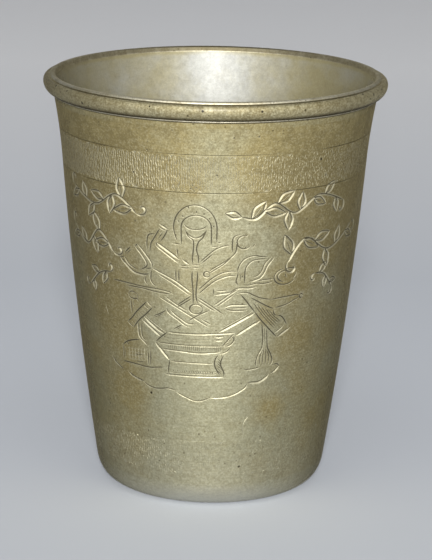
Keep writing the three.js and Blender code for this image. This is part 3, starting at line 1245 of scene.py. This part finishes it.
def lip_solder():
    """The solder under the ring, stood out in a small roll, with dirt and painted shade in the corner above it."""
    half = LIP_SOLDER_HEIGHT / 2
    middle = RING_BOTTOM - half
    inside = wall_radius(middle)
    width = LIP_SOLDER_WIDTH + FIT_GAP
    roll = arc(inside, middle, width, half, -QUARTER_TURN, QUARTER_TURN, ROLL_STEPS)
    solder = turned_piece("lip_solder_roll", roll, SOLDER_ROUGH)
    heights = [vertex.co.z / MM for vertex in solder.data.vertices]
    # Dirt and painted shade on the roll's upper half, under the ring
    set_values(solder, "dirt", [max(0, (height - middle) / half) for height in heights])
    return solder


def base_disc():
    """The disc, with shallow lathe grooves in its dished underside."""
    dish_radius = DISC_RADIUS - BASE_RIM_WIDTH
    profile = []
    for step in range(1, DISH_STEPS + 1):
        angle = step / DISH_STEPS * QUARTER_TURN
        groove = GROOVE_DEPTH if step % GROOVE_EVERY == 0 and step < DISH_STEPS else 0
        profile.append((dish_radius * math.sin(angle), BASE_RECESS + BASE_DISH * math.cos(angle) + groove))
    profile += [(DISC_RADIUS - BASE_CHAMFER, BASE_RECESS), (DISC_RADIUS, BASE_RECESS + BASE_CHAMFER)]
    profile += [(DISC_RADIUS * (1 - step / DISC_STEPS), DISC_TOP) for step in range(DISC_STEPS)]
    return turned_piece("base_disc_turned", profile, poles=(BASE_RECESS + BASE_DISH, DISC_TOP))


def base_solder():
    outside = LEDGE_RADIUS - FIT_GAP
    inside = outside - BASE_SOLDER_LEG
    top = DISC_TOP + BASE_SOLDER_LEG
    hollow = arc(inside, top, BASE_SOLDER_LEG, BASE_SOLDER_LEG, 0, -QUARTER_TURN, FILLET_STEPS)
    return turned_piece("base_solder_fillet", [(outside, DISC_TOP), (outside, top)] + hollow[1:], SOLDER_ROUGH)


# Materials

class Shade:
    """A number, colour or place that a shader node gives. Arithmetic on it makes more nodes."""

    def __init__(self, socket):
        self.socket = socket

    def made(self, kind, output, inputs, **settings):
        return shade(self.socket.id_data, kind, output, inputs, **settings)

    def beside(self, output):
        """Another output of the same node."""
        return Shade(self.socket.node.outputs[output])

    def worked(self, operation, first, second):
        return self.made("ShaderNodeMath", 0, {0: first, 1: second}, operation=operation)

    def __add__(self, other):
        return self.worked("ADD", self, other)

    def __sub__(self, other):
        return self.worked("SUBTRACT", self, other)

    def __rsub__(self, other):
        return self.worked("SUBTRACT", other, self)

    def __mul__(self, other):
        return self.worked("MULTIPLY", self, other)

    def __abs__(self):
        return self.worked("ABSOLUTE", self, 0)

    def axis(self, letter):
        return self.made("ShaderNodeSeparateXYZ", letter, {"Vector": self})

    def stretched(self, *scale):
        return self.made("ShaderNodeMapping", "Vector", {"Vector": self, "Scale": scale})

    def noise(self, scale, detail, rough):
        inputs = {"Vector": self, "Scale": scale, "Detail": detail, "Roughness": rough}
        return self.made("ShaderNodeTexNoise", "Fac", inputs)

    def ramp(self, low, high, bottom=0, top=1):
        """Goes from bottom at low to top at high, and is level beyond them."""
        inputs = {"Value": self, "From Min": low, "From Max": high, "To Min": bottom, "To Max": top}
        return self.made("ShaderNodeMapRange", "Result", inputs)

    def between(self, first, second):
        """A colour between two others, with this share of the second."""
        return self.made("ShaderNodeMix", 2, {0: self, 6: first, 7: second}, data_type="RGBA")

    def bump(self, strength, distance, **under):
        """The direction of a surface that has this height, over another bump where one is given as Normal."""
        inputs = {"Height": self, "Strength": strength, "Distance": distance, **under}
        return self.made("ShaderNodeBump", "Normal", inputs)


def connect(node, inputs):
    """Sets the inputs of a node to numbers and colours, or joins them to shades."""
    for socket, value in inputs.items():
        if isinstance(value, Shade):
            node.id_data.links.new(value.socket, node.inputs[socket])
        else:
            node.inputs[socket].default_value = value


def shade(tree, kind, output, inputs, **settings):
    """What a new shader node gives at one of its outputs."""
    node = tree.nodes.new(kind)
    for name, value in settings.items():
        setattr(node, name, value)
    connect(node, inputs)
    return Shade(node.outputs[output])


def new_material(name):
    """A material, its shader, and the place on the object."""
    material = bpy.data.materials.new(name)
    material.use_nodes = True
    tree = material.node_tree
    return material, tree.nodes["Principled BSDF"], shade(tree, "ShaderNodeTexCoord", "Object", {})


def rgb(red, green, blue):
    return (red, green, blue, 1)


# Tints of age and wear, and tints that paint shade, highlights and the floor's reflection on the foot
MIDDLE_DARKENING = rgb(0.12, 0.11, 0.08)
FLOOR_REFLECTION_GREY = rgb(0.395, 0.376, 0.28)
CLOUD = rgb(0.2, 0.155, 0.06)
MOTTLE = rgb(0.15, 0.126, 0.058)
GRAIN_PALE = rgb(0.62, 0.59, 0.42)
GRAIN_DARK = rgb(0.17, 0.14, 0.07)
STREAK = rgb(0.19, 0.16, 0.085)
SPECK = rgb(0.09, 0.07, 0.03)
PIT = rgb(0.05, 0.04, 0.02)
BARE_METAL_AND_GLINT = rgb(0.57, 0.535, 0.39)
DIRT_IN_CUTS = rgb(0.07, 0.058, 0.028)
DIRT_AND_PAINTED_SHADE = rgb(0.085, 0.07, 0.036)
FOOT_FLOOR_REFLECTION = rgb(0.61, 0.61, 0.57)
EDGE_TINT = rgb(0.03, 0.028, 0.02)
RIM_TINT = rgb(0.85, 0.82, 0.72)
COAT_IOR = 1.6

# Spots of the metal: cells in a metre, how rare they are, and their size in cells
WALL_PITS = (240, 0.9, 0.11)
LIP_PITS = (640, 0.8, 0.32)
SPECKS = (700, 0.74, 0.24)

# Grain of the metal: cells in a metre, and strength
GRAINS = ((1900, 0.26), (950, 0.15))


def spots_of(place, scale, rare, size):
    """1 in small round spots, in a few of the cells of a random pattern."""
    distance = place.made("ShaderNodeTexVoronoi", "Distance", {"Vector": place, "Scale": scale})
    red = place.made("ShaderNodeSeparateColor", "Red", {"Color": distance.beside("Color")})
    room = red.beside("Green") * size - distance
    return red.ramp(rare, rare + 0.05) * room.ramp(-0.02, 0.05)


def grain_layers(place, wear):
    """Pale and dark grain, as shares and tints."""
    layers = []
    for scale, strength in GRAINS:
        grain = place.noise(scale, 2, 0.6)
        layers.append((grain.ramp(0.5, 0.72) * (strength * wear), GRAIN_PALE))
        layers.append((grain.ramp(0.5, 0.3) * (strength * wear), GRAIN_DARK))
    return layers


def worn_normal(place, mottle, pit, strength):
    """Fine grain, turning lines and pits, over a slow unevenness of the hand-worked metal."""
    lines = place.stretched(30, 30, 2600).noise(1, 2, 0.5)
    height = place.noise(1500, 3, 0.6) * 0.5 + lines * 0.3 - mottle * 0.8 - pit * 1.5
    slow = place.noise(90, 2, 0.5).bump(0.5, 0.0006)
    return height.bump(strength, 0.00015, Normal=slow)


def pewter(name, clean, stained, roughness, wear=1, coat=(0, 0.5), dulled=0, pits=WALL_PITS, edge=EDGE_TINT):
    """Old pewter: stained in soft blotches, more towards the mouth, speckled, pitted and scratched.

    Its cuts have bright edges, paler to the sides as a painted highlight, and dark bottoms. The middle of the
    outside is darker and duller, and staining has roughened the part under the mouth. Heights are in metres.
    """
    material, shader, place = new_material(name)
    kept = ("stain_and_sheen", "cut", "deep", "dirt")
    stain_and_sheen, cut, deep, dirt = [
        shade(material.node_tree, "ShaderNodeAttribute", "Fac", {}, attribute_name=value) for value in kept
    ]
    height = place.axis("Z")
    aside = abs(place.axis("X")).ramp(0.008, 0.03)
    blotch = place.noise(60, 6, 0.62) + height.ramp(0.06, 0.105, -0.14, 0.17) + stain_and_sheen * 0.36
    middle_band = height.ramp(0.03, 0.07) * height.ramp(0.108, 0.1)
    cloud = (place.noise(210, 5, 0.7) + stain_and_sheen * 0.16).ramp(0.54, 0.64) * height.ramp(0.04, 0.1)
    mottle = place.noise(520, 6, 0.7)
    streak = place.stretched(45, 45, 1900).noise(1, 3, 0.65).ramp(0.5, 0.72)
    pit = spots_of(place, *pits) * wear
    fresh = cut.ramp(0.02, 0.2)
    layers = [
        (middle_band * (dulled * 0.7), MIDDLE_DARKENING),
        # Painted reflection: the lower wall is greyed towards the foot, as if mirroring the floor
        (height.ramp(0.024, 0.008) * 0.5, FLOOR_REFLECTION_GREY),
        (cloud * (0.36 * wear), CLOUD),
        (mottle.ramp(0.42, 0.72) * (0.36 * wear), MOTTLE),
        *grain_layers(place, wear),
        (streak * (0.22 * wear), STREAK),
        (spots_of(place, *SPECKS) * (0.6 * wear), SPECK),
        (pit, PIT),
        # Bare metal in the cuts, with more towards the sides as a painted highlight
        (fresh * (aside * 0.3 + 0.4), BARE_METAL_AND_GLINT),
        (deep.ramp(0.3, 0.65) * 0.84, DIRT_IN_CUTS),
        # Painted reflection: the foot's bottom is paler, less at the sides, as if mirroring the pale floor
        (height.ramp(0.0075, 0.001) * (0.7 - aside * 0.55), FOOT_FLOOR_REFLECTION),
        # Dirt, patina and painted shade, from the meshes' dirt values
        (dirt * 0.92, DIRT_AND_PAINTED_SHADE),
    ]
    colour = blotch.ramp(0.36, 0.76).between(clean, stained)
    for share, tint in layers:
        colour = share.between(colour, tint)
    gloss = mottle.ramp(0.25, 0.75, roughness - 0.05, roughness + 0.07) - fresh * 0.06
    connect(shader, {
        "Base Color": colour,
        "Metallic": 1,
        "Roughness": gloss + height.ramp(0.03, 0.09) * (dulled * 0.8),
        "Coat Weight": coat[0],
        "Coat Roughness": coat[1],
        "Coat IOR": COAT_IOR,
        "Specular Tint": edge,
        "Normal": worn_normal(place, mottle, pit, 0.4 * wear),
    })
    return material


# Stage

def paper(name, points, near, far):
    """A plain pale sheet of paper, with one colour near the cup and another one behind it."""
    made = made_object(name, points, [(0, 1, 2, 3)])
    material, shader, place = new_material(name + "_paper")
    colour = place.axis("Y").ramp(0.22, 0.72).between(near, far)
    connect(shader, {"Base Color": colour, "Roughness": 0.9, "Specular IOR Level": 0.2})
    made.data.materials.append(material)


def stage():
    """A floor that runs past the edges of the view, and a backdrop that the metal reflects."""
    half, back, top = 6000, 2500, 3000
    ground = [(-half, -half, 0), (half, -half, 0), (half, half, 0), (-half, half, 0)]
    wall = [(-half, back, 0), (half, back, 0), (half, back, top), (-half, back, top)]
    paper("floor", ground, rgb(0.463, 0.485, 0.521), rgb(0.7, 0.705, 0.72))
    paper("backdrop", wall, rgb(0.5, 0.51, 0.52), rgb(0.5, 0.51, 0.52))


def panel(name, place, aim, width, height, power):
    """A soft rectangular lamp."""
    lamp = bpy.data.lights.new(name, "AREA")
    lamp.shape = "RECTANGLE"
    lamp.size = width
    lamp.size_y = height
    lamp.energy = power
    made = bpy.data.objects.new(name, lamp)
    made.location = place
    made.rotation_euler = (Vector(aim) - Vector(place)).to_track_quat("-Z", "Y").to_euler()
    bpy.context.scene.collection.objects.link(made)


def lights():
    world = bpy.data.worlds.new("studio")
    world.use_nodes = True
    connect(world.node_tree.nodes["Background"], {"Color": rgb(0.98, 0.99, 1), "Strength": 0.07})
    bpy.context.scene.world = world
    panel("key", (0, -4, 1.4), (0, 0, 0.06), width=0.7, height=1.4, power=370)
    panel("top", (0, -0.5, 1.3), (0, 0, 0.05), width=1, height=0.8, power=4)


def camera():
    data = bpy.data.cameras.new("camera")
    data.sensor_fit = "VERTICAL"
    data.sensor_height = SENSOR
    data.lens = FOCAL_PIXELS / IMAGE_HEIGHT * SENSOR
    made = bpy.data.objects.new("camera", data)
    turn = Matrix.Rotation(CAMERA_YAW, 4, "Z") @ Matrix.Rotation(QUARTER_TURN - CAMERA_PITCH, 4, "X")
    made.matrix_world = Matrix.Translation(CAMERA_PLACE) @ turn @ Matrix.Rotation(CAMERA_ROLL, 4, "Z")
    bpy.context.scene.collection.objects.link(made)
    bpy.context.scene.camera = made


# Assembly

def dress(piece, node, slot, *materials):
    for material in materials:
        piece.data.materials.append(material)
    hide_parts(node)
    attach(piece, "root")


camera()
lights()
stage()

wall_pewter = pewter(
    "pewter_wall", rgb(0.385, 0.366, 0.238), rgb(0.36, 0.298, 0.137), 0.54, coat=(0.15, 0.42), dulled=0.2)
inside_pewter = pewter(
    "pewter_inside", rgb(0.415, 0.415, 0.38), rgb(0.37, 0.334, 0.2), 0.77, wear=0.32, coat=(0.48, 0.42))
rim_pewter = pewter("pewter_rim", rgb(0.72, 0.71, 0.63), rgb(0.54, 0.5, 0.37), 0.6, edge=RIM_TINT)
lip_pewter = pewter(
    "pewter_lip", rgb(0.48, 0.459, 0.322), rgb(0.35, 0.302, 0.168), 0.74, wear=1.6, coat=(0.2, 0.36), pits=LIP_PITS)
base_pewter = pewter("pewter_base", rgb(0.4, 0.37, 0.26), rgb(0.3, 0.26, 0.15), 0.6)
# Solder, paler than the pewter, made paler still as a painted highlight on the roll under the ring
solder_pale_and_sheen = pewter("solder", rgb(0.78, 0.75, 0.62), rgb(0.66, 0.61, 0.48), 0.5)

dress(engraved_wall(), "cup_wall", "pewter_wall", wall_pewter, inside_pewter, rim_pewter)
dress(lip_ring(), "lip_ring", "pewter_lip", lip_pewter)
dress(lip_solder(), "lip_solder", "solder", solder_pale_and_sheen)
dress(base_disc(), "base_disc", "pewter_base", base_pewter)
dress(base_solder(), "base_solder", "solder", solder_pale_and_sheen)

bpy.context.scene.view_settings.view_transform = "Standard"

bpy.context.view_layer.update()
